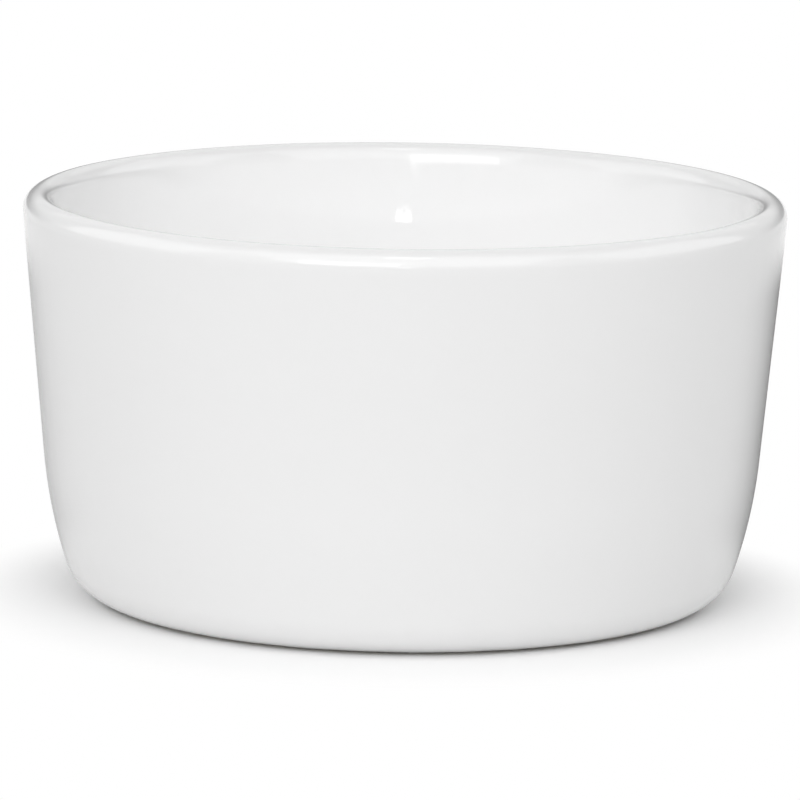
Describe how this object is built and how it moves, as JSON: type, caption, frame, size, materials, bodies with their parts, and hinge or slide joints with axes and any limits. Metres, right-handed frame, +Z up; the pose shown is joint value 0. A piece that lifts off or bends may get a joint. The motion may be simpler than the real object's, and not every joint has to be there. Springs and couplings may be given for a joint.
{
  "type": "ramekin",
  "caption": "Small white glazed porcelain ramekin: straight tapered wall, rounded lip, soft heel and recessed foot, for baking and serving a single portion.",
  "frame": {"origin": "centre of the foot ring, in the plane that the ramekin stands on", "axes": "+Z up along the axis of revolution, from the foot to the open rim; the shape is round, so +X and +Y are alike"},
  "size_m": [0.09, 0.09, 0.048],
  "materials": {
    "fired_clay": "fired bare porcelain, matt and very slightly gritty",
    "white_glaze": "clear glossy glaze over white clay"
  },
  "bodies": {
    "root": {"porcelain_body": "fired_clay", "bowl_glaze": "white_glaze", "underside_glaze": "white_glaze"}
  },
  "joints": []
}
